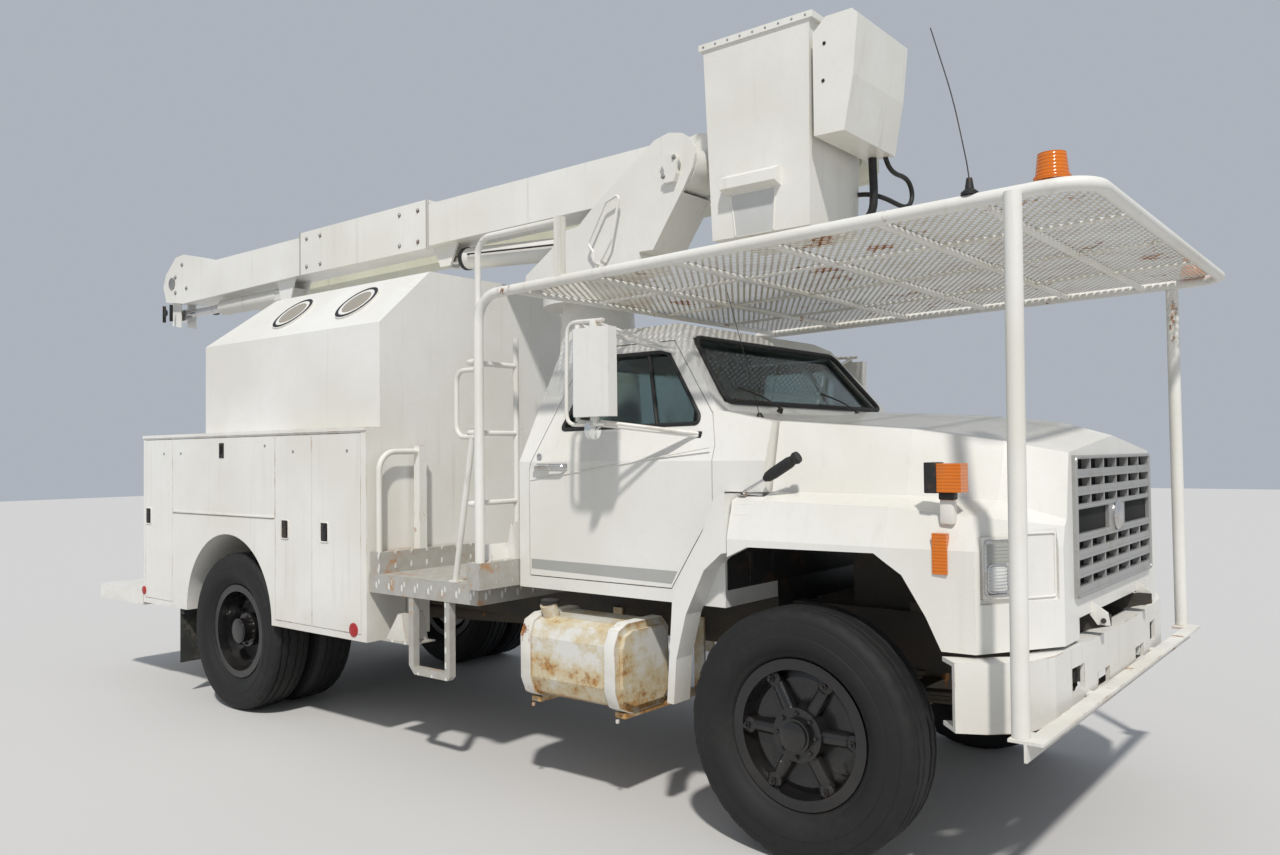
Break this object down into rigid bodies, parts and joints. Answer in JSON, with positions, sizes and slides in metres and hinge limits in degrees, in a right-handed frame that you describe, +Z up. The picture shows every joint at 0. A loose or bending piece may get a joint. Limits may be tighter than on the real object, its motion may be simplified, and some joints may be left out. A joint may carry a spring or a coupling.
{
  "type": "cherry picker truck",
  "caption": "Two-axle truck with a tool body, covered box, brush guard canopy, turning turret and a folding boom that lifts an open worker's bucket.",
  "frame": {"origin": "on the ground under the middle of the whole outline", "axes": "+X forwards towards the hood, +Y to the truck's left side, +Z up"},
  "size_m": [8.26, 2.684, 3.8599],
  "materials": {
    "aged_white_paint": "aged gloss white with dust",
    "body_white_paint": "aged white, rusty at the edges",
    "chassis_paint": "dull black, rusty",
    "cast_dark": "rough, oily",
    "guard_paint": "white paint with rust runs",
    "mesh_metal": "pale, worn",
    "tank_paint": "dull white",
    "wheel_black": "gloss black",
    "tyre_rubber": "matt, worn",
    "clear_glass": "clear, a little green",
    "seat_vinyl": "matt",
    "dash_plastic": "matt",
    "boom_white": "aged gel coat",
    "boom_fibreglass": "aged, greenish",
    "bucket_fibreglass": "aged gel coat",
    "grille_grey": "silver grey",
    "amber_lens": "gloss",
    "red_lens": "gloss",
    "rod_chrome": "bright",
    "flap_rubber": "matt"
  },
  "bodies": {
    "chassis": {"beacons": "amber_lens", "bench_seat": "seat_vinyl", "bumper": "body_white_paint", "cab_glass": "clear_glass", "cab_shell": "aged_white_paint", "canopy_frame": "guard_paint", "canopy_mesh": "mesh_metal", "chassis_frame": "chassis_paint", "chip_box": "body_white_paint", "dashboard": "dash_plastic", "deck": "body_white_paint", "engine_block": "cast_dark", "fender_tails": "aged_white_paint", "front_axle": "cast_dark", "fuel_tanks": "tank_paint", "leaf_springs": "cast_dark", "mud_flaps": "flap_rubber", "pedestal": "aged_white_paint", "rear_axle": "cast_dark", "service_body": "body_white_paint", "side_ladder": "guard_paint", "tail_lamps": "red_lens", "tail_shelf": "body_white_paint"},
    "hood": {"hood_front": "aged_white_paint", "grille": "grille_grey", "front_lamps": "amber_lens"},
    "knuckle_right": {"knuckle_right": "cast_dark"},
    "knuckle_left": {"knuckle_left": "cast_dark"},
    "tie_rod": {"tie_rod": "cast_dark"},
    "front_wheel_right": {"wheel_front_right": "wheel_black", "tyre_front_right": "tyre_rubber"},
    "front_wheel_left": {"wheel_front_left": "wheel_black", "tyre_front_left": "tyre_rubber"},
    "rear_wheels_right": {"wheels_rear_right": "wheel_black", "tyres_rear_right": "tyre_rubber"},
    "rear_wheels_left": {"wheels_rear_left": "wheel_black", "tyres_rear_left": "tyre_rubber"},
    "door_right": {"door_right": "aged_white_paint", "door_glass_right": "clear_glass"},
    "door_left": {"door_left": "aged_white_paint", "door_glass_left": "clear_glass"},
    "box_door": {"box_door": "body_white_paint"},
    "turret": {"turret": "aged_white_paint"},
    "lower_boom": {"lower_boom": "boom_white", "elbow_barrel": "tank_paint"},
    "lift_barrel": {"lift_barrel": "aged_white_paint"},
    "lift_rod": {"lift_rod": "rod_chrome"},
    "elbow_link": {"elbow_link": "cast_dark"},
    "elbow_rod": {"elbow_rod": "rod_chrome"},
    "upper_boom": {"upper_boom": "boom_fibreglass"},
    "bucket": {"bucket": "bucket_fibreglass", "control_cover": "bucket_fibreglass"},
    "locker_rear_right": {"locker_rear_right": "body_white_paint"},
    "locker_rear_left": {"locker_rear_left": "body_white_paint"},
    "locker_drop_right": {"locker_drop_right": "body_white_paint"},
    "locker_drop_left": {"locker_drop_left": "body_white_paint"},
    "locker_mid_right": {"locker_mid_right": "body_white_paint"},
    "locker_mid_left": {"locker_mid_left": "body_white_paint"},
    "locker_front_right": {"locker_front_right": "body_white_paint"},
    "locker_front_left": {"locker_front_left": "body_white_paint"}
  },
  "joints": [
    {"name": "steer_right", "type": "hinge", "parent": "chassis", "child": "knuckle_right", "pos_m": [2.89, -0.8, 0.515], "axis": [0, 0, 1], "range_deg": [-35, 35]},
    {"name": "steer_left", "type": "hinge", "parent": "chassis", "child": "knuckle_left", "pos_m": [2.89, 0.8, 0.515], "axis": [0, 0, 1], "range_deg": [-35, 35]},
    {"name": "tie_rod_slide", "type": "slide", "parent": "chassis", "child": "tie_rod", "axis": [0, 1, 0], "range_m": [-0.142, 0.142]},
    {"name": "spin_front_right", "type": "hinge", "parent": "knuckle_right", "child": "front_wheel_right", "pos_m": [2.89, -0.981, 0.515], "axis": [0, 1, 0], "continuous": true},
    {"name": "spin_front_left", "type": "hinge", "parent": "knuckle_left", "child": "front_wheel_left", "pos_m": [2.89, 0.981, 0.515], "axis": [0, 1, 0], "continuous": true},
    {"name": "spin_rear_right", "type": "hinge", "parent": "chassis", "child": "rear_wheels_right", "pos_m": [-1.3, -0.9, 0.515], "axis": [0, 1, 0], "continuous": true},
    {"name": "spin_rear_left", "type": "hinge", "parent": "chassis", "child": "rear_wheels_left", "pos_m": [-1.3, 0.9, 0.515], "axis": [0, 1, 0], "continuous": true},
    {"name": "hood_tilt", "type": "hinge", "parent": "chassis", "child": "hood", "pos_m": [3.895, 0, 0.98], "axis": [0, 1, 0], "range_deg": [0, 65]},
    {"name": "door_right_swing", "type": "hinge", "parent": "chassis", "child": "door_right", "pos_m": [2.436, -1.003, 1.4], "axis": [0, 0, 1], "range_deg": [0, 65]},
    {"name": "locker_rear_right_swing", "type": "hinge", "parent": "chassis", "child": "locker_rear_right", "pos_m": [-2.076, -1.218, 1.2], "axis": [0, 0, 1], "range_deg": [0, 90]},
    {"name": "locker_drop_right_swing", "type": "hinge", "parent": "chassis", "child": "locker_drop_right", "pos_m": [-1.409, -1.218, 1.281], "axis": [1, 0, 0], "range_deg": [0, 90]},
    {"name": "locker_mid_right_swing", "type": "hinge", "parent": "chassis", "child": "locker_mid_right", "pos_m": [-0.345, -1.218, 1.2], "axis": [0, 0, 1], "range_deg": [0, 90]},
    {"name": "locker_front_right_swing", "type": "hinge", "parent": "chassis", "child": "locker_front_right", "pos_m": [0.148, -1.218, 1.2], "axis": [0, 0, 1], "range_deg": [0, 90]},
    {"name": "door_left_swing", "type": "hinge", "parent": "chassis", "child": "door_left", "pos_m": [2.436, 1.003, 1.4], "axis": [0, 0, -1], "range_deg": [0, 65]},
    {"name": "locker_rear_left_swing", "type": "hinge", "parent": "chassis", "child": "locker_rear_left", "pos_m": [-2.076, 1.218, 1.2], "axis": [0, 0, -1], "range_deg": [0, 90]},
    {"name": "locker_drop_left_swing", "type": "hinge", "parent": "chassis", "child": "locker_drop_left", "pos_m": [-1.409, 1.218, 1.281], "axis": [-1, 0, 0], "range_deg": [0, 90]},
    {"name": "locker_mid_left_swing", "type": "hinge", "parent": "chassis", "child": "locker_mid_left", "pos_m": [-0.345, 1.218, 1.2], "axis": [0, 0, -1], "range_deg": [0, 90]},
    {"name": "locker_front_left_swing", "type": "hinge", "parent": "chassis", "child": "locker_front_left", "pos_m": [0.148, 1.218, 1.2], "axis": [0, 0, -1], "range_deg": [0, 90]},
    {"name": "box_door_swing", "type": "hinge", "parent": "chassis", "child": "box_door", "pos_m": [-1.818, 0.443, 1.7], "axis": [0, 0, -1], "range_deg": [0, 100]},
    {"name": "turret_rotate", "type": "hinge", "parent": "chassis", "child": "turret", "pos_m": [0.9, 0, 2.6], "axis": [0, 0, 1], "continuous": true},
    {"name": "lower_boom_lift", "type": "hinge", "parent": "turret", "child": "lower_boom", "pos_m": [1.74, -0.18, 3.23], "axis": [0, 1, 0], "range_deg": [0, 110]},
    {"name": "lift_barrel_swing", "type": "hinge", "parent": "turret", "child": "lift_barrel", "pos_m": [1.19, -0.18, 2.905], "axis": [0, 1, 0], "range_deg": [0, 110]},
    {"name": "lift_rod_slide", "type": "slide", "parent": "lift_barrel", "child": "lift_rod", "axis": [-0.9981, 0, 0.062], "range_m": [0, 1.08]},
    {"name": "elbow_level", "type": "hinge", "parent": "lower_boom", "child": "elbow_link", "pos_m": [-3.96, 0.1, 3.25], "axis": [0, 1, 0], "range_deg": [-110, 0]},
    {"name": "upper_boom_lift", "type": "hinge", "parent": "elbow_link", "child": "upper_boom", "pos_m": [-3.96, 0.445, 3.25], "axis": [0, -1, 0], "range_deg": [0, 80]},
    {"name": "elbow_rod_slide", "type": "slide", "parent": "lower_boom", "child": "elbow_rod", "axis": [1, 0, 0], "range_m": [0, 0.31]},
    {"name": "bucket_level", "type": "hinge", "parent": "upper_boom", "child": "bucket", "pos_m": [2.4, 0.445, 3.26], "axis": [0, -1, 0], "range_deg": [-80, 0]}
  ],
  "couplings": [
    {"joint": "steer_left", "follows": "steer_right", "ratio": 1},
    {"joint": "tie_rod_slide", "follows": "steer_right", "m_per_rad": -0.227},
    {"joint": "lift_barrel_swing", "follows": "lower_boom_lift", "ratio": 1},
    {"joint": "lift_rod_slide", "follows": "lower_boom_lift", "m_per_rad": 0.55},
    {"joint": "elbow_level", "follows": "lower_boom_lift", "ratio": -1},
    {"joint": "elbow_rod_slide", "follows": "upper_boom_lift", "m_per_rad": 0.215},
    {"joint": "bucket_level", "follows": "upper_boom_lift", "ratio": -1}
  ]
}
